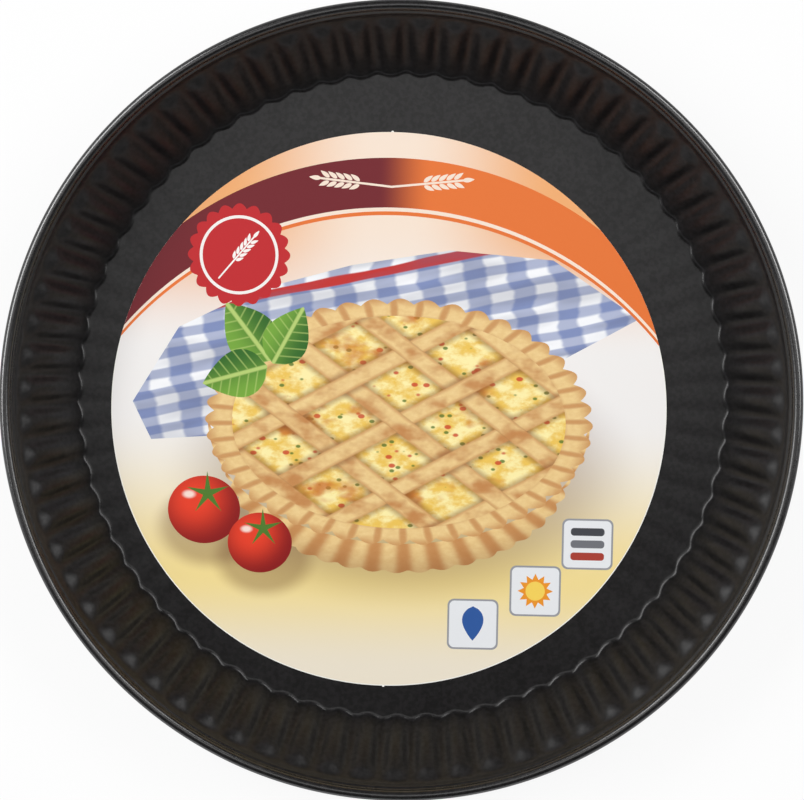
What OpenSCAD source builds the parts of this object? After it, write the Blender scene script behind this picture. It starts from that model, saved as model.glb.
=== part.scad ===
// Fluted quiche pan, pressed from one disc of sheet steel with its rim rolled outward,
// and the round card label that lies loose on its floor.
// The origin is the middle of the underside, Z is up.

/* [Pan] */
// Diameter of the mouth, measured inside the rolled rim
mouth_d = 280; // [240:1:320]
// Height from the underside to the top of the rolled rim
pan_h = 32; // [28:0.5:42]
// Thickness of the sheet
sheet = 0.6; // [0.5:0.05:0.8]
// Lean of the fluted wall away from upright, in degrees
wall_lean = 36.1; // [30:0.1:38]
// Radius of the bend between the floor and the wall, on the inside
foot_bend = 1.2; // [1:0.1:2]

/* [Flutes] */
// Number of flutes round the wall
flutes = 71; // [60:1:80]
// Depth of a flute from rib to groove at the top of the wall
flute_depth = 1.6; // [1.2:0.1:2.4]
// Depth of a flute where the wall meets the floor
foot_depth = 1.35; // [0.8:0.05:1.8]
// How much narrower the grooves are than the ribs, 0 for a plain wave
groove_pinch = 0.12; // [0:0.02:0.2]
// Height over which the top of a rib rounds off into the plain band
shoulder_h = 4.6; // [3:0.1:6]
// Direction of the first groove, in degrees from +X
first_groove = 3; // [0:0.1:5]

/* [Rim] */
// Diameter of the rolled bead
bead_d = 3.8; // [3.2:0.1:5]
// Straight length of the neck below the middle of the bead
neck_h = 1.5; // [1:0.1:3]
// Width of the small step at the foot of the neck
step_w = 0.9; // [0.6:0.1:1.5]
// Slope of that step, in degrees from level
step_slope = 40; // [30:1:50]
// Height of the plain band between the step and the flutes
band_h = 2.8; // [1.5:0.1:4]
// Lean of the plain band away from upright, in degrees
band_lean = 16; // [12:1:30]
// Radius of the bends at both ends of the step, on the inside
step_bend = 0.9; // [0.85:0.05:1]
// Gap between the rolled edge and the back of the neck
roll_gap = 0.1; // [0.05:0.05:0.3]

/* [Card] */
// Diameter of the card
card_d = 206; // [180:1:215]
// Thickness of the card
card_t = 0.4; // [0.3:0.05:0.6]
// Distance of the card's middle from the pan's axis, to the right
card_x = -5.1; // [-8:0.1:8]
// Distance of the card's middle from the pan's axis, to the back
card_y = -4.6; // [-8:0.1:8]
// Turn of the card, in degrees, where minus is clockwise
card_turn = -1; // [-10:0.5:10]
// Height of the two nibs that held the card in its cutting sheet
nib_h = 0.5; // [0.3:0.1:0.8]

/* [Hidden] */
$fn = 128;

// Columns of points across one flute
flute_columns = 6;
// Steps on the bend at the wall's foot, on the shoulder, and on each small bend of the step
foot_steps = 2;
shoulder_steps = 3;
step_steps = 4;
// The fluted wall ends inside the neck's sheet: how far up, and how deep below each face
lap = 0.05;
tuck = 0.05;

bead_r = bead_d / 2;
bead_z = pan_h - bead_r;
mouth_r = mouth_d / 2;
wall_slope = 90 - wall_lean;
band_slope = 90 - band_lean;

// Inner face of the rim from the neck down: foot of the neck, edge of the step, foot of the band
neck_foot = [mouth_r, bead_z - neck_h];
step_edge = neck_foot - step_w * [1, tan(step_slope)];
band_foot = step_edge - band_h * [tan(band_lean), 1];

// Corner between the floor and the wall, as the wall's line runs down from the band
wall_h = band_foot.y - sheet;
floor_corner = [band_foot.x - wall_h * tan(wall_lean), sheet];

function along(slope) = [cos(slope), sin(slope)];
function inward(slope) = [-sin(slope), cos(slope)];

// Stations round one bend of the sheet's inner face, each as radius, height and slope.
// The corner is where the straight stretches before and after the bend would meet.
function bend(corner, slope_in, slope_out, radius, steps) =
    let (turn = slope_out - slope_in,
         side = sign(turn),
         start = corner - radius * tan(abs(turn) / 2) * along(slope_in),
         centre = start + side * radius * inward(slope_in))
    [for (i = [0 : steps])
        let (slope = slope_in + turn * i / steps,
             at = centre - side * radius * inward(slope))
        [at.x, at.y, slope]];

// Depth of the ribs at a height on the wall below the shoulder, growing evenly on the way up
wall_top = band_foot.y - shoulder_h;
deepening = (flute_depth - foot_depth) / (wall_top - sheet);
function wall_depth(z) = foot_depth + (z - sheet) * deepening;

// Stations of the fluted wall from the floor to the neck. Each has the radius, height and slope of the
// line that the grooves follow, the depth of the ribs in front of it with its rate on the way up, and a tuck.
function wall_station(z, depth, rate) =
    [band_foot.x - (band_foot.y - z) * tan(wall_lean), z, wall_slope, depth, rate, 0];

// The ribs fade out over the shoulder as half a cosine wave does, t from 0 to 1
function shoulder_station(t) =
    wall_station(wall_top + t * shoulder_h,
                 flute_depth * (1 + cos(180 * t)) / 2,
                 -flute_depth * PI / 2 * sin(180 * t) / shoulder_h);

fluted_stations = concat(
    [for (s = bend(floor_corner, 0, wall_slope, foot_bend, foot_steps))
        [s.x, s.y, s.z, wall_depth(s.y), deepening, 0]],
    [wall_station(wall_top, flute_depth, deepening)],
    [for (i = [1 : shoulder_steps - 1]) shoulder_station(i / shoulder_steps)],
    [let (end = band_foot + lap * along(band_slope)) [end.x, end.y, band_slope, 0, 0, tuck]]);

// How far a rib stands in front of the grooves' line, 0 in a groove and 1 on a rib,
// and the rate of that for each radian of the flute's turn
function rib(turn) = (1 - cos(turn) + groove_pinch * (1 - cos(2 * turn))) / 2;
function rib_rate(turn) = (sin(turn) + 2 * groove_pinch * sin(2 * turn)) / 2;

// A point of the sheet at a station, at a depth below its inner face, measured square to the sheet
function sheet_point(s, angle, depth) =
    let (turn = flutes * (angle - first_groove),
         r = s[0] - s[3] * rib(turn),
         inset = cos(s[2]) - s[4] * rib(turn) * sin(s[2]),
         swing = sin(s[2]) * s[3] * flutes * rib_rate(turn) / r,
         share = depth / norm([sin(s[2]), inset, swing]),
         out = share * sin(s[2]),
         aside = share * swing,
         down = share * inset)
    [(r + out) * cos(angle) - aside * sin(angle),
     (r + out) * sin(angle) + aside * cos(angle),
     s[1] - down];

// Floor and fluted wall as one pressing. Each column of points runs up the inner face and back
// down the outer face, and the two middles of the floor close the surface.
module fluted_dish() {
    columns = flutes * flute_columns;
    rows = len(fluted_stations);
    chain = 2 * rows;
    points = concat(
        [for (c = [0 : columns - 1])
            let (angle = first_groove + 360 * c / columns)
            each concat(
                [for (s = fluted_stations) sheet_point(s, angle, s[5])],
                [for (i = [rows - 1 : -1 : 0])
                    let (s = fluted_stations[i]) sheet_point(s, angle, sheet - s[5])])],
        [[0, 0, sheet], [0, 0, 0]]);
    upper_middle = columns * chain;
    lower_middle = upper_middle + 1;
    faces = [
        for (c = [0 : columns - 1])
            let (here = c * chain,
                 next = (c + 1) % columns * chain)
            each concat(
                [for (i = [0 : chain - 2])
                    each [[here + i, next + i, next + i + 1], [here + i, next + i + 1, here + i + 1]]],
                [[upper_middle, next, here],
                 [lower_middle, here + chain - 1, next + chain - 1]])];
    polyhedron(points = points, faces = faces);
}

// Neck, step and plain band below the bead, as one strip of sheet
module neck_section() {
    inner = concat(
        [[band_foot.x, band_foot.y, band_slope]],
        bend(step_edge, band_slope, step_slope, step_bend, step_steps),
        bend(neck_foot, step_slope, 90, step_bend, step_steps),
        [[mouth_r, bead_z, 90]]);
    polygon(concat(
        [for (s = inner) [s.x, s.y]],
        [for (i = [len(inner) - 1 : -1 : 0])
            let (s = inner[i]) [s.x, s.y] - sheet * inward(s.z)]));
}

// The rolled bead: a ring of sheet, open where its edge turns in below and meets the neck's back
module bead_section() {
    open_angle = acos((bead_r - sheet - roll_gap) / bead_r);
    reach = 2 * bead_r;
    translate([mouth_r + bead_r, bead_z])
        difference() {
            circle(bead_r);
            circle(bead_r - sheet);
            polygon([[0, 0],
                     [-reach, 0],
                     reach * along(180 + open_angle / 2),
                     reach * along(180 + open_angle)]);
        }
}

module pan() {
    color("#3a3738") {
        fluted_dish();
        rotate_extrude() {
            neck_section();
            bead_section();
        }
    }
}

module label_card() {
    translate([card_x, card_y, sheet])
        rotate(card_turn)
            color("#f7e3c8") {
                cylinder(d = card_d, h = card_t);
                for (side = [90, 270])
                    rotate(side)
                        translate([card_d / 2, 0, 0])
                            cylinder(r = nib_h, h = card_t);
            }
}

pan();
label_card();
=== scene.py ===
# A fluted quiche pan of coated sheet steel with a printed card on its floor, seen from nearly above.
import math

import bpy
import numpy as np
from mathutils import Matrix, Vector
from mathutils.geometry import delaunay_2d_cdt


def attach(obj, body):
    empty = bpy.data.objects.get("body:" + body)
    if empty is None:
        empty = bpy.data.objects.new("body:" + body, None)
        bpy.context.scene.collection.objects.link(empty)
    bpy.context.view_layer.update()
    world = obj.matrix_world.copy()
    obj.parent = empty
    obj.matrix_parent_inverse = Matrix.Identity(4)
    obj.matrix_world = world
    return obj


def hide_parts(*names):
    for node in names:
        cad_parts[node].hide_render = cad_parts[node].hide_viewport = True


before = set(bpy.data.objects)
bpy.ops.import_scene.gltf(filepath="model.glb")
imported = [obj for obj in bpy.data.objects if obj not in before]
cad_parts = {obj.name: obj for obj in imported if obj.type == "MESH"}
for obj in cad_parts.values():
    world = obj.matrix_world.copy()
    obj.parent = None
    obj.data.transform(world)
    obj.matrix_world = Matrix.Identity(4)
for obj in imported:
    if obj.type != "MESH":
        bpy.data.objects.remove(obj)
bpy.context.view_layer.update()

MM = 0.001

# The pan's driving sizes, in millimetres and degrees, as the solids have them
MOUTH_D = 280.0
PAN_H = 32.0
SHEET = 0.6
WALL_LEAN = 36.1
FLUTES = 71
FLUTE_DEPTH = 1.6
FOOT_DEPTH = 1.35
GROOVE_PINCH = 0.12
SHOULDER_H = 4.6
FIRST_GROOVE = 3.0
BEAD_D = 3.8
NECK_H = 1.5
STEP_W = 0.9
STEP_SLOPE = 40.0
BAND_H = 2.8
BAND_LEAN = 16.0
STEP_BEND = 0.9
ROLL_GAP = 0.1

# The card's sizes and place, and the width of a ring of bare card left on its top at the edge as a painted
# highlight, standing in for the lit cut edge
CARD_D = 206.0
CARD_T = 0.4
CARD_AT = (-5.1, -4.6)
CARD_TURN = -1.0
NIB_H = 0.5
PAINTED_EDGE_HIGHLIGHT = 0.35

# Points round the card's cut edge, and on each of its two nibs
CARD_POINTS = 480
NIB_POINTS = 15

# The visible skin: columns of points across one flute, and steps on each stretch of the wall. The bead has
# its steps outside and inside
FLUTE_COLUMNS = 12
FOOT_STEPS = 6
WALL_STEPS = 3
SHOULDER_STEPS = 9
STEP_STEPS = 4
BAND_STEPS = 5
BEAD_STEPS = (28, 10)

# The visible skin is a little softer: the bends at the wall's foot and at the plain band, and how far the
# ribs reach up into that band
FOOT_BEND = 2.3
BAND_BEND = 8.0
SHOULDER_RISE = 0.5

# Edges of the skin that turn by more degrees than this are shaded as sharp
SHARP_ANGLE = 50

# A wave in the coating's shading alone, in millimetres from crest to trough, beside the flutes' real depth.
# Its size is fitted to the photograph's stripes. Then the share in it of a wave twice as fine, and the
# heights over which it comes in and fades out, in metres
FLANK_RELIEF = 1.15
RELIEF_DOUBLE = 0.08
RELIEF_RISE = (0.0005, 0.014)
RELIEF_FALL = (0.018, 0.026)

# The coating's patterns, in cells to the metre, the depth of its grain in millimetres, and the roughness and
# mirror strength between which they vary
GRAIN_SCALE = 2600.0
SPECK_SCALE = 1500.0
MOTTLE_SCALE = 620.0
PATCH_SCALE = 170.0
CLOUD_SCALE = 45.0
GRAIN_DEPTH = 0.007
ROUGHNESS = (0.26, 0.30)
SPECULAR = (0.36, 0.38)

# Where the finish changes, in metres: heights and reach of the smoother rim, reach of its clear coat, and
# heights of the duller wall. All of it is fitted to the photograph's highlights, and none of it is known
RIM_RISE = (0.0270, 0.0292)
RIM_END = (0.1428, 0.1435)
COAT_REACH = (0.1417, 0.1424)
DULL_RISE = (0.010, 0.0215)
DULL_FALL = (0.0262, 0.0282)

# How the finish changes there, fitted in the same way
RIM_SPECULAR = 0.42
RIM_SMOOTHER = 0.04
WALL_DULLER = 0.12
COAT_ROUGHNESS = 0.26

# The photograph's frame and the camera that gives its view of the rim, the wall's foot and the card
FRAME_W = 804
SENSOR_W = 36.0
FOCAL_PX = 2246.0
CAMERA_AT = (0.0257, 0.0665, 0.8301)
CAMERA_AIM = (0.00103, 0.00207, 0.0301)

# The lamps, fitted to the photograph's light: name, place, what each faces, sizes in metres, power in watts
LAMPS = (("overhead_panel", (0.0, 0.135, 1.1), (0.0, 0.135, 0.0), (1.05, 0.45), 2.16),
         ("west_softbox", (-1.41, 0.57, 1.44), (0, 0, 0), (1.8, 0.72), 32.7),
         ("east_softbox", (1.36, 0.66, 1.44), (0, 0, 0), (1.8, 0.72), 23.9))

# The world's light: the heading of its brightest low part, the strengths at the horizon against and along
# that heading, the strength overhead, and how high the low light reaches, as Z of a direction of length 1
GLOW_HEADING = (-0.50, -0.87, 0)
GLOW_LOW = (0.15, 1.15)
GLOW_HIGH = 0.02
GLOW_REACH = 0.6
GLOW_COLOUR = (0.95, 0.97, 1, 1)

# The floor: half its side, how far it lies below the pan, and what share of it glows white for the camera
# and in reflections
FLOOR_HALF = 8.0
FLOOR_DROP = 0.0002
FLOOR_GLOW = 0.9

# The pie's place and half sizes on the card, its crimps and lattice, the share of it inside the crimped
# edge, and how deep its side shows. Then the tomatoes, and the shadows in shares of the card
PIE_AT = (4.0, -4.0)
PIE_SIZE = (72.0, 46.0)
PIE_LOBES = 44
PIE_TOP = 0.86
PIE_DEEP = 15.0
PIE_TAPER = 0.9
STRIP_PITCH = 0.41
STRIP_W = 0.115
TOMATOES = (((-68.0, -38.0), 13.5), ((-47.0, -50.0), 12.0))
SHADOWS = (((0.06, -0.22), (0.72, 0.42), 0.45), ((-0.64, -0.43), (0.18, 0.14), 0.5),
           ((-0.44, -0.54), (0.17, 0.13), 0.5))

# The ribbon's curve, and how deep its hem's and its own edges lie below the card's top
RIBBON_CURVE = 130
HEM_EDGES = (30.4, 29.0)
RIBBON_EDGES = (27.6, 9.4)

# The print's other motifs: the napkin's corners, the leaves as stalk, turn, length and width, the badges,
# the seal, and the ears of wheat as middle, turn and size
NAPKIN = ((-95, 2), (-78, 30), (-50, 44), (-14, 54), (22, 60), (60, 57), (92, 36), (60, 18), (10, 8),
          (-30, -4), (-62, -10), (-88, -12))
LEAVES = (((-44, 18), 128, 27, 9.5), ((-43, 17), 62, 24, 8.5), ((-45, 16), 196, 25, 9))
BADGES = (((33, -79), "drop"), ((56, -66), "sun"), ((75, -48), "rows"))
SEAL_AT = (-56, 57)
SEAL_EAR = ((-56.8, 56.2), 50, 21)
RIBBON_EARS = (((-13.5, 84.4), 174, 28), ((13.5, 84.4), 6, 28))

scene = bpy.context.scene


# Node materials

class Nodes:
    """A material's node tree, built by short calls. Every call returns the output socket of a new node."""

    def __init__(self, name, **shader_values):
        self.material = bpy.data.materials.new(name)
        self.material.use_nodes = True
        self.tree = self.material.node_tree
        self.shader = self.tree.nodes["Principled BSDF"]
        for socket, value in shader_values.items():
            self.shader.inputs[socket.replace("_", " ")].default_value = value

    def put(self, socket, value):
        """Links or sets one input."""
        if isinstance(value, bpy.types.NodeSocket):
            self.tree.links.new(value, socket)
        elif hasattr(socket.default_value, "__len__") and not hasattr(value, "__len__"):
            socket.default_value = [value] * len(socket.default_value)
        elif hasattr(value, "__len__") and len(value) == 3 and len(socket.default_value) == 4:
            socket.default_value = (*value, 1.0)
        else:
            socket.default_value = value

    def finish(self, socket, value):
        """Links a value to an input of the shader."""
        self.put(self.shader.inputs[socket], value)

    def math(self, operation, *values):
        node = self.tree.nodes.new("ShaderNodeMath")
        node.operation = operation
        for socket, value in zip(node.inputs, values):
            self.put(socket, value)
        return node.outputs[0]

    def vector(self, operation, *values):
        node = self.tree.nodes.new("ShaderNodeVectorMath")
        node.operation = operation
        for socket, value in zip(node.inputs, values):
            self.put(socket, value)
        return node.outputs["Value" if operation in ("LENGTH", "DOT_PRODUCT", "DISTANCE") else "Vector"]

    def ramp(self, value, low, high, to_low=0.0, to_high=1.0):
        """Maps a value smoothly from low..high to to_low..to_high, held at both ends."""
        node = self.tree.nodes.new("ShaderNodeMapRange")
        node.interpolation_type = "SMOOTHSTEP"
        node.clamp = True
        for socket, given in zip(node.inputs, (value, low, high, to_low, to_high)):
            self.put(socket, given)
        return node.outputs[0]

    def window(self, value, rise, fall):
        """1 between two edges, each given as the two values that it fades over."""
        return self.math("MULTIPLY", self.ramp(value, *rise), self.ramp(value, *fall, 1.0, 0.0))

    def mix(self, factor, first, second):
        node = self.tree.nodes.new("ShaderNodeMix")
        node.data_type = "RGBA"
        self.put(node.inputs["Factor"], factor)
        self.put(node.inputs["A"], first)
        self.put(node.inputs["B"], second)
        return node.outputs["Result"]

    def noise(self, place, scale, detail=3.0, roughness=0.5):
        node = self.tree.nodes.new("ShaderNodeTexNoise")
        self.put(node.inputs["Vector"], place)
        self.put(node.inputs["Scale"], scale)
        self.put(node.inputs["Detail"], detail)
        self.put(node.inputs["Roughness"], roughness)
        return node.outputs["Fac"]

    def cells(self, place, scale):
        """Distance to the nearest of scattered points."""
        node = self.tree.nodes.new("ShaderNodeTexVoronoi")
        self.put(node.inputs["Vector"], place)
        self.put(node.inputs["Scale"], scale)
        return node.outputs["Distance"]

    def place(self):
        """Position in the object's own frame, in metres."""
        return self.tree.nodes.new("ShaderNodeTexCoord").outputs["Object"]

    def normal(self):
        """Which way the surface faces, in the object's own frame."""
        return self.tree.nodes.new("ShaderNodeTexCoord").outputs["Normal"]

    def motif(self):
        """Position in a printed field's own frame."""
        node = self.tree.nodes.new("ShaderNodeAttribute")
        node.attribute_name = "motif"
        return node.outputs["Vector"]

    def tint(self):
        """A flat field's own colour."""
        node = self.tree.nodes.new("ShaderNodeAttribute")
        node.attribute_name = "tint"
        return node.outputs["Color"]

    def parts(self, vector):
        node = self.tree.nodes.new("ShaderNodeSeparateXYZ")
        self.put(node.inputs[0], vector)
        return node.outputs["X"], node.outputs["Y"], node.outputs["Z"]

    def bump(self, height, distance, strength=1.0):
        node = self.tree.nodes.new("ShaderNodeBump")
        self.put(node.inputs["Height"], height)
        self.put(node.inputs["Distance"], distance)
        self.put(node.inputs["Strength"], strength)
        self.finish("Normal", node.outputs["Normal"])


def rgb(red, green, blue):
    """A colour given as it shows on screen, 0 to 255, as linear light."""
    def linear(value):
        value /= 255
        return value / 12.92 if value <= 0.04045 else ((value + 0.055) / 1.055) ** 2.4
    return linear(red), linear(green), linear(blue)


def coating():
    """Charcoal non-stick coating: satin, with a fine grain and a faint cloudiness. The rim is set smoother
    and the wall duller, because that brings the highlights nearer to the photograph's."""
    nodes = Nodes("nonstick_coating")
    place = nodes.place()
    cloud = nodes.noise(place, CLOUD_SCALE, 3.0)
    grain = nodes.noise(place, GRAIN_SCALE, 2.0, 0.6)
    speck = nodes.ramp(nodes.cells(place, SPECK_SCALE), 0.0, 0.22, 1.0, 0.0)
    mottle = nodes.ramp(nodes.noise(place, MOTTLE_SCALE, 2.0), 0.35, 0.65)
    colour = nodes.mix(mottle, rgb(16, 15, 15), rgb(26, 24, 25))
    colour = nodes.mix(nodes.math("MULTIPLY", speck, 0.3), colour, rgb(42, 40, 41))
    nodes.finish("Base Color", colour)
    _, _, height = nodes.parts(place)
    reach = nodes.vector("LENGTH", nodes.vector("MULTIPLY", place, (1, 1, 0)))
    inside = nodes.ramp(reach, *RIM_END, 1.0, 0.0)
    rolled = nodes.math("MULTIPLY", nodes.ramp(height, *RIM_RISE), inside)
    outer = nodes.math("MULTIPLY", rolled, nodes.ramp(reach, *COAT_REACH))
    patch = nodes.noise(place, PATCH_SCALE, 3.0, 0.6)
    sheen = nodes.ramp(patch, 0.35, 0.65, *SPECULAR)
    sheen = nodes.math("ADD", sheen, nodes.math("MULTIPLY", mottle, 0.03))
    sheen = nodes.math("ADD", sheen, nodes.math("MULTIPLY", rolled, RIM_SPECULAR))
    nodes.finish("Specular IOR Level", sheen)
    nodes.finish("Coat Weight", outer)
    nodes.finish("Coat Roughness", COAT_ROUGHNESS)
    rough = nodes.ramp(cloud, 0.3, 0.7, *ROUGHNESS)
    rough = nodes.math("ADD", rough, nodes.math("MULTIPLY", grain, 0.06))
    dull = nodes.window(height, DULL_RISE, DULL_FALL)
    rough = nodes.math("ADD", rough, nodes.math("MULTIPLY", dull, WALL_DULLER))
    nodes.finish("Roughness", nodes.math("SUBTRACT", rough, nodes.math("MULTIPLY", rolled, RIM_SMOOTHER)))
    relief = nodes.math("ADD", flute_relief(nodes, place), nodes.math("MULTIPLY", grain, GRAIN_DEPTH))
    nodes.bump(relief, MM)
    return nodes.material


def flute_relief(nodes, place):
    """A wave in millimetres that steepens the shading of the flutes' flanks beyond their real depth, fading
    at the foot and the shoulder. It stands out on the ribs inside and so sinks in on the outer face."""
    x, y, z = nodes.parts(place)
    angle = nodes.math("SUBTRACT", nodes.math("ARCTAN2", y, x), math.radians(FIRST_GROOVE))
    phase = nodes.math("MULTIPLY", angle, FLUTES)
    double = nodes.math("MULTIPLY", nodes.math("COSINE", nodes.math("MULTIPLY", phase, 2.0)), RELIEF_DOUBLE)
    wave = nodes.math("MULTIPLY", nodes.math("ADD", nodes.math("COSINE", phase), double), FLANK_RELIEF / 2)
    outward = nodes.vector("DOT_PRODUCT", nodes.normal(), nodes.vector("MULTIPLY", place, (1, 1, 0)))
    wave = nodes.math("MULTIPLY", wave, nodes.math("SIGN", outward))
    return nodes.math("MULTIPLY", wave, nodes.window(z, RELIEF_RISE, RELIEF_FALL))


# The pan

def along(slope):
    return np.array([math.cos(math.radians(slope)), math.sin(math.radians(slope))])


def inward(slope):
    return np.array([-math.sin(math.radians(slope)), math.cos(math.radians(slope))])


def bend(corner, slope_in, slope_out, radius, steps):
    """Stations round one bend of the sheet's inner face: radius, height and slope of each."""
    turn = slope_out - slope_in
    side = math.copysign(1, turn)
    start = corner - radius * math.tan(math.radians(abs(turn)) / 2) * along(slope_in)
    centre = start + side * radius * inward(slope_in)
    slopes = [slope_in + turn * i / steps for i in range(steps + 1)]
    return [(*(centre - side * radius * inward(slope)), slope) for slope in slopes]


def pan_stations():
    """Stations of the sheet's inner face from the floor's edge to the neck. Each has the radius, height and
    slope of the line that the grooves follow, how far the ribs stand in front of it, and the rate of that
    on the way up."""
    wall_slope = 90 - WALL_LEAN
    band_slope = 90 - BAND_LEAN
    bead_z = PAN_H - BEAD_D / 2
    neck_foot = np.array([MOUTH_D / 2, bead_z - NECK_H])
    step_edge = neck_foot - STEP_W * np.array([1, math.tan(math.radians(STEP_SLOPE))])
    band_foot = step_edge - BAND_H * np.array([math.tan(math.radians(BAND_LEAN)), 1])
    lean = math.tan(math.radians(WALL_LEAN))
    floor_corner = np.array([band_foot[0] - (band_foot[1] - SHEET) * lean, SHEET])
    wall_top = band_foot[1] - SHOULDER_H + SHOULDER_RISE
    deepening = (FLUTE_DEPTH - FOOT_DEPTH) / (wall_top - SHEET)

    def ribs(z):
        """How deep the ribs are at a height, and the rate of that on the way up."""
        if z <= wall_top:
            return FOOT_DEPTH + (z - SHEET) * deepening, deepening
        t = min((z - wall_top) / SHOULDER_H, 1)
        slowing = -math.sin(math.pi * t) * math.pi / 2 / SHOULDER_H
        return FLUTE_DEPTH * (1 + math.cos(math.pi * t)) / 2, FLUTE_DEPTH * slowing

    line = bend(floor_corner, 0, wall_slope, FOOT_BEND, FOOT_STEPS)
    arc = bend(band_foot, wall_slope, band_slope, BAND_BEND, BAND_STEPS)
    for first, last, steps in ((line[-1][1], wall_top, WALL_STEPS), (wall_top, arc[0][1], SHOULDER_STEPS)):
        for z in np.linspace(first, last, steps + 1)[1:]:
            line.append((band_foot[0] - (band_foot[1] - z) * lean, z, wall_slope))
    line += arc[1:]
    step = bend(step_edge, band_slope, STEP_SLOPE, STEP_BEND, STEP_STEPS)
    for share in np.linspace(0, 1, BAND_STEPS + 1)[1:-1]:
        r, z = (1 - share) * np.array(arc[-1][:2]) + share * np.array(step[0][:2])
        line.append((r, z, band_slope))
    line += step + bend(neck_foot, STEP_SLOPE, 90, STEP_BEND, STEP_STEPS)
    line.append((MOUTH_D / 2, bead_z, 90))
    return [(*s, *ribs(s[1])) for s in line]


def skin_point(station, angle, depth):
    """A point of the sheet at a station, at a depth square to its inner face."""
    line, z, slope, rib_depth, rate = station
    phase = FLUTES * (angle - math.radians(FIRST_GROOVE))
    rib = (1 - np.cos(phase) + GROOVE_PINCH * (1 - np.cos(2 * phase))) / 2
    rib_rate = (np.sin(phase) + 2 * GROOVE_PINCH * np.sin(2 * phase)) / 2
    radius = line - rib_depth * rib
    sine, cosine = math.sin(math.radians(slope)), math.cos(math.radians(slope))
    # The sheet's outward direction, from its rise up the wall and its swing round the flute
    inset = cosine - rate * rib * sine
    swing = sine * rib_depth * FLUTES * rib_rate / radius
    share = depth / np.sqrt(sine * sine + inset * inset + swing * swing)
    out, aside, down = share * sine, share * swing, share * inset
    return np.stack([(radius + out) * np.cos(angle) - aside * np.sin(angle),
                     (radius + out) * np.sin(angle) + aside * np.cos(angle),
                     z - down], 1)


def bead_rings(columns):
    """Rings round the rolled bead: over its outside to the sheet's edge, then back along its inside."""
    radius = BEAD_D / 2
    centre_r = MOUTH_D / 2 + radius
    centre_z = PAN_H - radius
    end = -180 + math.degrees(math.acos((radius - SHEET - ROLL_GAP) / radius))
    rings = []
    outside = (radius, 180, end, BEAD_STEPS[0])
    inside = (radius - SHEET, end, 180, BEAD_STEPS[1])
    for r, first, last, steps in (outside, inside):
        for degrees in np.linspace(first, last, steps)[1 if r == radius else 0:]:
            at = centre_r + r * math.cos(math.radians(degrees))
            z = centre_z + r * math.sin(math.radians(degrees))
            rings.append(np.stack([at * np.cos(columns), at * np.sin(columns), np.full(len(columns), z)], 1))
    return rings


def mesh_object(name, points, faces):
    """A new mesh object in metres, its outside facing outward, riding on the pan's body."""
    mesh = bpy.data.meshes.new(name)
    mesh.from_pydata([tuple(p) for p in points], [], faces)
    mesh.validate()
    mesh.update()
    piece = bpy.data.objects.new(name, mesh)
    scene.collection.objects.link(piece)
    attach(piece, "root")
    return piece


def make_pan():
    """The pan's whole skin: inner face, rolled bead and outer face, closed across the floor."""
    count = FLUTES * FLUTE_COLUMNS
    columns = np.radians(FIRST_GROOVE) + np.arange(count) * 2 * math.pi / count
    stations = pan_stations()
    rings = [skin_point(s, columns, 0.0) for s in stations]
    rings += bead_rings(columns)
    # The last station's back is where the bead's inside ends
    rings += [skin_point(s, columns, SHEET) for s in reversed(stations[:-1])]
    points = np.concatenate(rings + [np.array([[0, 0, SHEET], [0, 0, 0]])]) * MM
    faces = []
    for row in range(len(rings) - 1):
        low, high = row * count, (row + 1) * count
        faces += [(low + c, low + (c + 1) % count, high + (c + 1) % count, high + c) for c in range(count)]
    upper, lower = len(points) - 2, len(points) - 1
    last = (len(rings) - 1) * count
    faces += [(upper, (c + 1) % count, c) for c in range(count)]
    faces += [(lower, last + c, last + (c + 1) % count) for c in range(count)]
    pan = mesh_object("pan_skin", points, [tuple(reversed(face)) for face in faces])
    pan.data.shade_smooth()
    pan.data.set_sharp_from_angle(angle=math.radians(SHARP_ANGLE))
    pan.data.materials.append(coating())
    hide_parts("pan")


# The card and its print. A field is an outline with a material and a frame of its own:
# the middle, the half sizes and the turn that its pattern is drawn in. A flat field also has a tint.

class Field:
    def __init__(self, outline, paint, at=(0, 0), size=(1, 1), turn=0.0, tint=(1, 1, 1)):
        self.outline = [tuple(p) for p in outline]
        self.paint = paint
        self.at = np.array(at, float)
        self.size = np.array(size, float)
        self.turn = math.radians(turn)
        self.tint = (*tint, 1.0)

    def local(self, point):
        """A point of the card in this field's own frame."""
        x, y = np.array(point) - self.at
        c, s = math.cos(self.turn), math.sin(self.turn)
        return (c * x + s * y) / self.size[0], (c * y - s * x) / self.size[1], 0.0

    def covers(self, x, y):
        """For each point, whether the outline holds it."""
        inside = np.zeros(len(x), bool)
        for (ax, ay), (bx, by) in zip(self.outline, self.outline[1:] + self.outline[:1]):
            if ay != by:
                inside ^= ((ay > y) != (by > y)) & (x < ax + (y - ay) * (bx - ax) / (by - ay))
        return inside


def placed(points, at, turn=0.0):
    c, s = math.cos(math.radians(turn)), math.sin(math.radians(turn))
    return [(at[0] + c * x - s * y, at[1] + s * x + c * y) for x, y in points]


def oval(width, height, at=(0, 0), count=72, first=0.0, last=360.0):
    """An oval, or an arc of it, by its half sizes."""
    whole = last - first == 360
    angles = np.radians(np.linspace(first, last, count, endpoint=not whole))
    return placed([(width * math.cos(a), height * math.sin(a)) for a in angles], at)


def lobed(width, height, lobes, depth, at, first=0.0, last=360.0):
    """An oval whose edge bulges in lobes, by its half sizes at the lobes' tops."""
    count = round(8 * lobes * (last - first) / 360)
    whole = last - first == 360
    points = []
    for a in np.radians(np.linspace(first, last, count, endpoint=not whole)):
        share = 1 - depth * (1 - abs(math.cos(a * lobes / 2)))
        points.append((width * share * math.cos(a), height * share * math.sin(a)))
    return placed(points, at)


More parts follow.
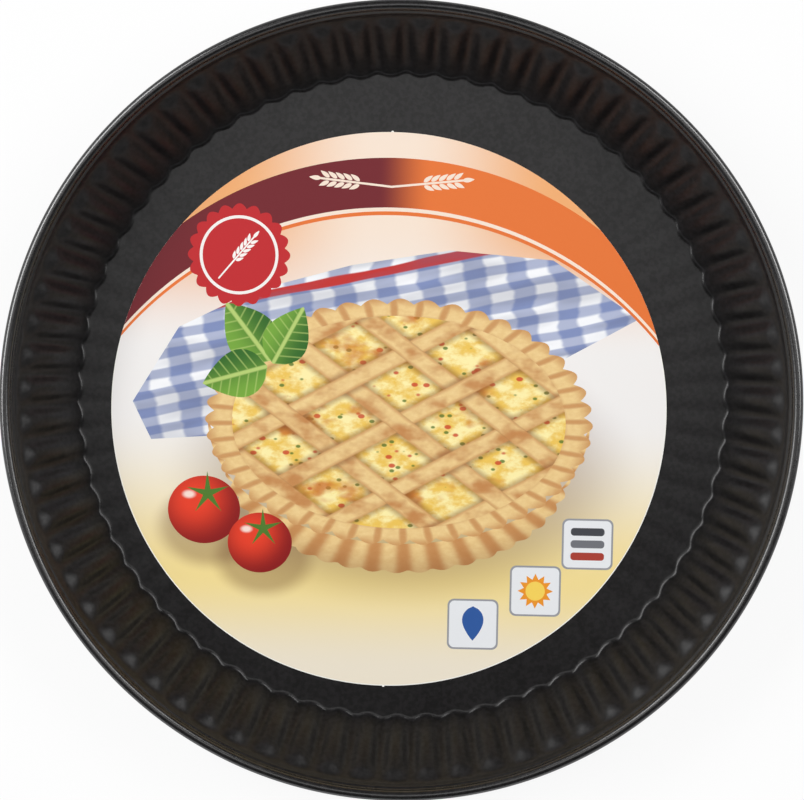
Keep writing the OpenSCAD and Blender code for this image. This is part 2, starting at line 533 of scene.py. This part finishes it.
def leaf(length, width, at, turn=0.0):
    """A pointed leaf from its stalk's end, widest a third of the way along."""
    upper = []
    for t in np.linspace(0, 1, 14):
        upper.append((length * t, width * math.sin(math.pi * t ** 0.75) ** 0.9))
    lower = [(x, -y) for x, y in upper[-2:0:-1]]
    return placed(upper + lower, at, turn)


def rounded(width, height, corner, at, turn=0.0):
    """A block with round corners, by its whole sizes."""
    points = []
    for x, y, first in ((1, 1, 0), (-1, 1, 90), (-1, -1, 180), (1, -1, 270)):
        middle = (x * (width / 2 - corner), y * (height / 2 - corner))
        points += oval(corner, corner, middle, count=7, first=first, last=first + 90)
    return placed(points, at, turn)


def star(points, outer, inner, at, turn=0.0):
    shape = []
    for i in range(2 * points):
        r = outer if i % 2 == 0 else inner
        shape.append((r * math.cos(math.pi * i / points), r * math.sin(math.pi * i / points)))
    return placed(shape, at, turn)


def crescent(radius, depth, curve):
    """What a flatter arc cuts off at the top of a disc, by the depth in the middle and the arc's radius."""
    middle = radius - depth - curve
    meet = (radius ** 2 - curve ** 2 + middle ** 2) / (2 * middle)
    count = 60
    outer = math.degrees(math.asin(meet / radius))
    inner = math.degrees(math.asin((meet - middle) / curve))
    top = oval(radius, radius, count=count, first=outer, last=180 - outer)
    return top + oval(curve, curve, (0, middle), count=count, first=180 - inner, last=inner)


def card_outline():
    """The card's cut edge, with the two nibs that held it in its sheet."""
    radius = CARD_D / 2
    reach = math.asin(NIB_H / radius)
    angles = set(np.linspace(0, 2 * math.pi, CARD_POINTS, endpoint=False))
    for middle in (math.pi / 2, 3 * math.pi / 2):
        angles |= set(middle + reach * np.linspace(-1, 1, NIB_POINTS))
    points = []
    for angle in sorted(angles):
        off = min(abs(angle - math.pi / 2), abs(angle - 3 * math.pi / 2))
        r = radius
        if off < reach:
            nib = math.sqrt(max(NIB_H ** 2 - (radius * math.sin(off)) ** 2, 0))
            r = max(radius, radius * math.cos(off) + nib)
        points.append((r * math.cos(angle), r * math.sin(angle)))
    return points


def stock():
    """Bare card, as it shows at the cut edge, and in the ring on the top's edge that is a painted highlight.
    """
    nodes = Nodes("card_stock", Roughness=0.6)
    fibre = nodes.noise(nodes.place(), 900.0, 3.0)
    nodes.finish("Base Color", nodes.mix(fibre, rgb(250, 248, 242), rgb(238, 235, 228)))
    return nodes.material


def printed(name, colour_of):
    """A smooth print, whose colour is given by a function of the material's nodes."""
    nodes = Nodes(name, Roughness=0.42, Specular_IOR_Level=0.35)
    nodes.finish("Base Color", colour_of(nodes))
    grain = nodes.noise(nodes.place(), 1800.0, 2.0)
    nodes.bump(grain, 0.00001, 0.2)
    return nodes.material


# The print's colours, each drawn in its field's own frame, where 1 is half the field's size

def tinted(nodes):
    return nodes.tint()


def ground_colour(nodes):
    """Peach at the top, near white behind the pie, gold and then cream below, with soft shadows under what
    lies on it."""
    spot = nodes.motif()
    x, y, _ = nodes.parts(spot)
    warm = nodes.mix(nodes.ramp(y, -0.62, 0.0), rgb(244, 221, 150), rgb(242, 239, 237))
    warm = nodes.mix(nodes.ramp(y, -0.95, -0.6), rgb(238, 228, 208), warm)
    aside = nodes.ramp(nodes.math("ABSOLUTE", x), 0.05, 0.6)
    peach = nodes.mix(aside, rgb(246, 226, 208), rgb(240, 172, 112))
    colour = nodes.mix(nodes.ramp(y, 0.2, 0.72), warm, peach)
    for (across, up), (wide, high), strength in SHADOWS:
        off = nodes.vector("SUBTRACT", spot, (across, up, 0))
        off = nodes.vector("MULTIPLY", off, (1 / wide, 1 / high, 0))
        shade = nodes.ramp(nodes.vector("LENGTH", off), 0.75, 1.25, strength, 0.0)
        colour = nodes.mix(shade, colour, rgb(120, 78, 44))
    return colour


def cloth_colour(nodes):
    """A checked napkin: blue and white, in soft folds, with a red line along its hem."""
    spot = nodes.motif()
    fold = nodes.noise(nodes.vector("MULTIPLY", spot, (1.0, 2.6, 1.0)), 1.9, 2.0)
    bent = nodes.vector("ADD", spot, nodes.mix(fold, (-0.09, -0.09, 0), (0.09, 0.09, 0)))
    x, y, _ = nodes.parts(bent)
    colour = rgb(248, 249, 252)
    for across in (x, y):
        stripe = nodes.ramp(nodes.math("PINGPONG", across, 0.085), 0.033, 0.052)
        colour = nodes.mix(nodes.math("MULTIPLY", stripe, 0.55), colour, rgb(52, 92, 168))
    hem = nodes.ramp(nodes.math("ABSOLUTE", nodes.math("SUBTRACT", y, 0.79)), 0.035, 0.05, 1.0, 0.0)
    colour = nodes.mix(hem, colour, rgb(196, 44, 40))
    return nodes.mix(nodes.ramp(fold, 0.36, 0.62, 0.32, 0.0), colour, rgb(92, 96, 120))


def crust_colour(nodes, spot, brown):
    """Baked pastry, from pale to brown."""
    crumb = nodes.noise(spot, 26.0, 3.0, 0.6)
    pale = nodes.mix(crumb, rgb(226, 184, 118), rgb(247, 219, 158))
    return nodes.mix(brown, pale, rgb(186, 112, 50))


def side_colour(nodes):
    """The pie's fluted side, shaded flute by flute and darker towards the bottom."""
    spot = nodes.motif()
    x, y, _ = nodes.parts(spot)
    turn = nodes.math("MULTIPLY", nodes.math("ARCTAN2", y, x), PIE_LOBES)
    flute = nodes.ramp(nodes.math("SINE", turn), -1.0, 1.0)
    low = nodes.ramp(nodes.vector("LENGTH", spot), 0.98, 1.28)
    colour = crust_colour(nodes, spot, nodes.math("MULTIPLY", flute, 0.75))
    return nodes.mix(nodes.math("MULTIPLY", low, 0.45), colour, rgb(120, 66, 26))


def rim_colour(nodes):
    """The pie's crimped edge, brown on its outer lip and beside each crimp."""
    spot = nodes.motif()
    x, y, _ = nodes.parts(spot)
    turn = nodes.math("MULTIPLY", nodes.math("ARCTAN2", y, x), PIE_LOBES)
    crimp = nodes.ramp(nodes.math("SINE", turn), 0.2, 1.0)
    lip = nodes.ramp(nodes.vector("LENGTH", spot), 0.92, 1.0)
    inner = nodes.ramp(nodes.vector("LENGTH", spot), 0.84, 0.88, 0.5, 0.0)
    brown = nodes.math("MAXIMUM", nodes.math("MULTIPLY", crimp, 0.65), nodes.math("MULTIPLY", lip, 0.6))
    return crust_colour(nodes, spot, nodes.math("MAXIMUM", brown, inner))


def custard_colour(nodes, spot):
    """Baked custard with browned patches, herbs and bits of tomato."""
    cloud = nodes.noise(spot, 9.0, 4.0, 0.6)
    patch = nodes.noise(nodes.vector("ADD", spot, (3.0, 1.0, 0)), 3.4, 3.0, 0.55)
    colour = nodes.mix(nodes.ramp(cloud, 0.38, 0.62), rgb(240, 198, 88), rgb(255, 240, 172))
    for offset, scale, tint in (((0, 0, 0), 13.0, rgb(88, 122, 40)), ((5, 2, 0), 10.0, rgb(206, 66, 36))):
        near = nodes.cells(nodes.vector("ADD", spot, offset), scale)
        colour = nodes.mix(nodes.ramp(near, 0.14, 0.22, 0.9, 0.0), colour, tint)
    return nodes.mix(nodes.ramp(patch, 0.54, 0.70, 0.0, 0.85), colour, rgb(202, 112, 38))


def top_colour(nodes):
    """The pie's top: custard under a woven lattice of pastry strips."""
    spot = nodes.motif()
    x, y, _ = nodes.parts(spot)
    across = nodes.math("ADD", nodes.math("MULTIPLY", x, 0.76), nodes.math("MULTIPLY", y, 0.65))
    along_it = nodes.math("SUBTRACT", nodes.math("MULTIPLY", x, 0.65), nodes.math("MULTIPLY", y, 0.76))
    brown = nodes.ramp(nodes.noise(spot, 5.0, 3.0), 0.42, 0.68, 0.0, 0.8)
    strips, counts = [], []
    for run in (across, along_it):
        off = nodes.math("PINGPONG", run, STRIP_PITCH / 2)
        strip = nodes.ramp(off, STRIP_W / 2 - 0.006, STRIP_W / 2 + 0.006, 1.0, 0.0)
        shade = nodes.ramp(off, STRIP_W / 2, STRIP_W / 2 + 0.05, 0.55, 0.0)
        edge = nodes.ramp(off, STRIP_W / 4, STRIP_W / 2, 0.0, 0.55)
        pastry = crust_colour(nodes, spot, nodes.math("MAXIMUM", brown, edge))
        strips.append((strip, shade, pastry))
        counts.append(nodes.math("FLOOR", nodes.math("ADD", nodes.math("DIVIDE", run, STRIP_PITCH), 0.5)))
    odd = nodes.math("FLOORED_MODULO", nodes.math("ADD", *counts), 2.0)
    colour = custard_colour(nodes, spot)
    dark = rgb(128, 66, 22)
    for strip, shade, _ in strips:
        colour = nodes.mix(shade, colour, dark)
    (first, _, first_pastry), (second, _, second_pastry) = strips
    colour = nodes.mix(first, colour, first_pastry)
    # The second run of strips passes over and under the first by turns
    over = nodes.math("MAXIMUM", nodes.math("SUBTRACT", 1.0, first), odd)
    near = nodes.math("MULTIPLY", strips[1][1], nodes.math("MULTIPLY", odd, first))
    colour = nodes.mix(near, colour, dark)
    return nodes.mix(nodes.math("MULTIPLY", second, over), colour, second_pastry)


def leaf_colour(nodes):
    """A basil leaf with a pale midrib and side veins. Its frame runs from the stalk's end to the tip."""
    x, y, _ = nodes.parts(nodes.motif())
    side = nodes.math("ABSOLUTE", y)
    body = nodes.mix(nodes.ramp(y, -0.9, 0.9), rgb(46, 104, 32), rgb(118, 168, 58))
    run = nodes.math("SUBTRACT", x, nodes.math("MULTIPLY", side, 0.16))
    vein = nodes.ramp(nodes.math("PINGPONG", run, 0.07), 0.0, 0.02, 0.5, 0.0)
    rib = nodes.ramp(side, 0.04, 0.12, 0.9, 0.0)
    return nodes.mix(nodes.math("MAXIMUM", vein, rib), body, rgb(190, 214, 120))


def tomato_colour(nodes):
    """A round tomato, lit from its upper left."""
    spot = nodes.motif()
    lit = nodes.vector("LENGTH", nodes.vector("SUBTRACT", spot, (-0.25, 0.3, 0)))
    colour = nodes.mix(nodes.ramp(lit, 0.2, 1.3), rgb(232, 62, 34), rgb(138, 14, 14))
    off = nodes.vector("SUBTRACT", spot, (-0.42, 0.42, 0))
    gleam = nodes.vector("LENGTH", nodes.vector("MULTIPLY", off, (1.0, 1.6, 1.0)))
    return nodes.mix(nodes.ramp(gleam, 0.08, 0.24, 0.85, 0.0), colour, rgb(255, 238, 226))


def ribbon_colour(nodes):
    """Maroon on the left running into orange on the right."""
    x, _, _ = nodes.parts(nodes.motif())
    return nodes.mix(nodes.ramp(x, -0.05, 0.15), rgb(112, 24, 34), rgb(230, 116, 48))


def wheat_ear(paint, at, turn, size, tint):
    """A stem with pairs of grains and one at its tip."""
    fields = [Field(rounded(size, 0.028 * size, 0.013 * size, at, turn), paint, tint=tint)]
    for i in range(5):
        for side in (-1, 1):
            grain = placed([(size * (0.1 * i - 0.06), side * 0.025 * size)], at, turn)[0]
            fields.append(Field(leaf(0.15 * size, 0.028 * size, grain, turn + side * 30), paint, tint=tint))
    tip = placed([(size * 0.45, 0)], at, turn)[0]
    fields.append(Field(leaf(0.16 * size, 0.03 * size, tip, turn), paint, tint=tint))
    return fields


def badge(paint, at, mark):
    """A small plain badge with one simple mark."""
    frame_tint, face_tint = rgb(150, 152, 158), rgb(233, 235, 238)
    fields = [Field(rounded(19, 19, 2.4, at), paint, tint=frame_tint),
              Field(rounded(17.6, 17.6, 1.9, at), paint, tint=face_tint)]
    if mark == "drop":
        stalk = placed([(0, 6.8)], at)[0]
        fields.append(Field(leaf(13, 4.0, stalk, -90), paint, tint=rgb(44, 88, 158)))
    elif mark == "sun":
        fields.append(Field(star(12, 6.6, 4.4, at), paint, tint=rgb(238, 150, 38)))
        fields.append(Field(oval(3.6, 3.6, at, count=32), paint, tint=rgb(248, 212, 92)))
    else:
        for i, tint in enumerate((rgb(66, 68, 74), rgb(112, 114, 120), rgb(170, 60, 48))):
            low = placed([(0, 4.6 - 4.6 * i)], at)[0]
            fields.append(Field(rounded(12.5, 2.9, 1.2, low), paint, tint=tint))
    return fields


def print_fields():
    """The print, from the ground up: each field covers what the fields before it left there."""
    radius = CARD_D / 2
    flat = printed("print_flat", tinted)
    ground = printed("print_ground", ground_colour)
    x, y = PIE_AT
    low = (x, y - PIE_DEEP)
    w, h = PIE_SIZE
    # The ground stops short of the card's edge, so a ring of bare card shows there as a painted highlight of
    # the lit cut edge
    fields = [Field(oval(radius - PAINTED_EDGE_HIGHLIGHT, radius - PAINTED_EDGE_HIGHLIGHT, count=360), ground,
                    size=(radius, radius))]
    fields.append(Field(NAPKIN, printed("print_cloth", cloth_colour), at=(0, 22), size=(95, 40), turn=12))
    side = oval(w * 0.985, h * 0.985, PIE_AT, first=180, last=360)
    foot = lobed(w * PIE_TAPER, h * PIE_TAPER, PIE_LOBES, 0.03, low, first=180, last=360)
    fields.append(Field(side + foot[::-1], printed("print_pie_side", side_colour), PIE_AT, PIE_SIZE))
    fields.append(Field(lobed(w, h, PIE_LOBES, 0.045, PIE_AT), printed("print_pie_rim", rim_colour),
                        PIE_AT, PIE_SIZE))
    fields.append(Field(oval(w * PIE_TOP, h * PIE_TOP, PIE_AT, count=160),
                        printed("print_pie_top", top_colour), PIE_AT, PIE_SIZE))
    fields.append(Field(crescent(radius, HEM_EDGES[0], RIBBON_CURVE), flat, tint=rgb(230, 116, 48)))
    fields.append(Field(crescent(radius, HEM_EDGES[1], RIBBON_CURVE), flat, tint=rgb(246, 226, 208)))
    fields.append(Field(crescent(radius, RIBBON_EDGES[0], RIBBON_CURVE),
                        printed("print_ribbon", ribbon_colour), size=(radius, radius)))
    fields.append(Field(crescent(radius, RIBBON_EDGES[1], RIBBON_CURVE), ground, size=(radius, radius)))
    tomato = printed("print_tomato", tomato_colour)
    for at, r in TOMATOES:
        fields.append(Field(oval(r, r * 0.94, at), tomato, at, (r, r)))
        crown = (at[0] + 0.1 * r, at[1] + 0.45 * r)
        fields.append(Field(star(5, 0.62 * r, 0.14 * r, crown, 20), flat, tint=rgb(78, 122, 40)))
    green = printed("print_leaf", leaf_colour)
    for at, turn, length, width in LEAVES:
        fields.append(Field(leaf(length, width, at, turn), green, at, (length, width), turn))
    for at, mark in BADGES:
        fields += badge(flat, at, mark)
    fields.append(Field(lobed(19, 19, 20, 0.10, SEAL_AT), flat, tint=rgb(192, 32, 38)))
    fields.append(Field(oval(14.6, 14.6, SEAL_AT), flat, tint=rgb(246, 240, 236)))
    fields.append(Field(oval(13.5, 13.5, SEAL_AT), flat, tint=rgb(192, 32, 38)))
    fields += wheat_ear(flat, *SEAL_EAR, rgb(250, 244, 240))
    for ear in RIBBON_EARS:
        fields += wheat_ear(flat, *ear, rgb(246, 226, 208))
    return fields


def make_card():
    """The card with its print, cut into the fields that show."""
    fields = [Field(card_outline(), stock())] + print_fields()
    points, edges = [], []
    for field in fields:
        first, count = len(points), len(field.outline)
        edges += [(first + i, first + (i + 1) % count) for i in range(count)]
        points += [Vector(p) for p in field.outline]
    verts, _, triangles, _, _, _ = delaunay_2d_cdt(points, edges, [], 0, 1e-6)
    middles = np.array([np.mean([verts[v] for v in t], axis=0) for t in triangles])
    owners = np.full(len(triangles), -1)
    for index, field in enumerate(fields):
        owners[field.covers(middles[:, 0], middles[:, 1]) & ((owners >= 0) | (index == 0))] = index
    triangles = [t for t, owner in zip(triangles, owners) if owner >= 0]
    owners = owners[owners >= 0]
    top = SHEET + CARD_T
    count = len(verts)
    corners = [(v.x, v.y, top) for v in verts] + [(v.x, v.y, SHEET) for v in verts]
    uses = {}
    for triangle in triangles:
        for a, b in zip(triangle, [*triangle[1:], triangle[0]]):
            uses.setdefault(frozenset((a, b)), []).append((a, b))
    rim = [pairs[0] for pairs in uses.values() if len(pairs) == 1]
    shown = list(triangles)
    shown += [tuple(count + i for i in reversed(t)) for t in triangles]
    shown += [(b, a, count + a, count + b) for a, b in rim]
    turn = Matrix.Rotation(math.radians(CARD_TURN), 2)
    world = []
    for x, y, z in corners:
        spot = turn @ Vector((x, y))
        world.append(((spot.x + CARD_AT[0]) * MM, (spot.y + CARD_AT[1]) * MM, z * MM))
    card = mesh_object("card_with_print", world, shown)
    mesh = card.data
    paints = []
    for field in fields:
        if field.paint not in paints:
            paints.append(field.paint)
            mesh.materials.append(field.paint)
    motif, tint = [], []
    for index, polygon in enumerate(mesh.polygons):
        owner = fields[owners[index] if index < len(triangles) else 0]
        polygon.material_index = paints.index(owner.paint)
        for vertex in polygon.vertices:
            motif += owner.local(corners[vertex][:2])
            tint += owner.tint
    mesh.attributes.new("motif", "FLOAT_VECTOR", "CORNER")
    mesh.attributes.new("tint", "FLOAT_COLOR", "CORNER")
    mesh.attributes["motif"].data.foreach_set("vector", motif)
    mesh.attributes["tint"].data.foreach_set("color", tint)
    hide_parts("label_card")


# The studio

def look_along(place, aim, up):
    """The rotation that points -Z from place to aim, with up towards the picture's top."""
    back = (Vector(place) - Vector(aim)).normalized()
    right = Vector(up).cross(back).normalized()
    return Matrix((right, back.cross(right), back)).transposed().to_euler()


def make_camera():
    camera = bpy.data.objects.new("camera", bpy.data.cameras.new("camera"))
    scene.collection.objects.link(camera)
    camera.location = CAMERA_AT
    camera.rotation_euler = look_along(CAMERA_AT, CAMERA_AIM, (0, 1, 0))
    camera.data.sensor_width = SENSOR_W
    camera.data.lens = FOCAL_PX * SENSOR_W / FRAME_W
    scene.camera = camera


def softbox(name, place, aim, size, power):
    lamp = bpy.data.lights.new(name, "AREA")
    lamp.shape = "RECTANGLE"
    lamp.size, lamp.size_y = size
    lamp.energy = power
    box = bpy.data.objects.new(name, lamp)
    box.location = place
    box.rotation_euler = look_along(place, aim, (0, 0, 1))
    scene.collection.objects.link(box)


def make_floor():
    """A wide pale floor that the camera sees as near white, with a soft shadow left in it."""
    half = FLOOR_HALF
    corners = [(-half, -half, 0), (half, -half, 0), (half, half, 0), (-half, half, 0)]
    mesh = bpy.data.meshes.new("studio_floor")
    mesh.from_pydata(corners, [], [(0, 1, 2, 3)])
    floor = bpy.data.objects.new("studio_floor", mesh)
    floor.location.z = -FLOOR_DROP
    scene.collection.objects.link(floor)
    nodes = Nodes("studio_floor_paint", Roughness=0.9)
    nodes.finish("Base Color", rgb(244, 244, 244))
    tree = nodes.tree
    glow = tree.nodes.new("ShaderNodeEmission")
    glow.inputs["Strength"].default_value = 1.0
    path = tree.nodes.new("ShaderNodeLightPath").outputs
    seen = nodes.math("MAXIMUM", path["Is Camera Ray"], path["Is Glossy Ray"])
    seen = nodes.math("MAXIMUM", seen, path["Is Transmission Ray"])
    share = nodes.math("MULTIPLY", seen, FLOOR_GLOW)
    blend = tree.nodes.new("ShaderNodeMixShader")
    nodes.put(blend.inputs[0], share)
    tree.links.new(nodes.shader.outputs[0], blend.inputs[1])
    tree.links.new(glow.outputs[0], blend.inputs[2])
    tree.links.new(blend.outputs[0], tree.nodes["Material Output"].inputs["Surface"])
    mesh.materials.append(nodes.material)


def make_world():
    """A studio that is dim overhead and bright low down, most of all in front and to the left."""
    world = bpy.data.worlds.new("studio")
    scene.world = world
    world.use_nodes = True
    tree = world.node_tree
    heading = tree.nodes.new("ShaderNodeTexCoord").outputs["Generated"]
    place = tree.nodes.new("ShaderNodeSeparateXYZ")
    tree.links.new(heading, place.inputs[0])
    side = tree.nodes.new("ShaderNodeVectorMath")
    side.operation = "DOT_PRODUCT"
    tree.links.new(heading, side.inputs[0])
    side.inputs[1].default_value = GLOW_HEADING
    low = tree.nodes.new("ShaderNodeMapRange")
    glow = tree.nodes.new("ShaderNodeMapRange")
    glow.interpolation_type = "SMOOTHSTEP"
    tree.links.new(side.outputs["Value"], low.inputs["Value"])
    tree.links.new(low.outputs[0], glow.inputs["To Min"])
    tree.links.new(place.outputs["Z"], glow.inputs["Value"])
    for ramp, ends in ((low, {"From Min": -1, "From Max": 1, "To Min": GLOW_LOW[0], "To Max": GLOW_LOW[1]}),
                       (glow, {"From Min": 0, "From Max": GLOW_REACH, "To Max": GLOW_HIGH})):
        for socket, value in ends.items():
            ramp.inputs[socket].default_value = value
    back = tree.nodes["Background"]
    back.inputs["Color"].default_value = GLOW_COLOUR
    tree.links.new(glow.outputs[0], back.inputs["Strength"])


make_camera()
make_world()
make_floor()
make_pan()
make_card()
for lamp in LAMPS:
    softbox(*lamp)

scene.view_settings.view_transform = "Standard"
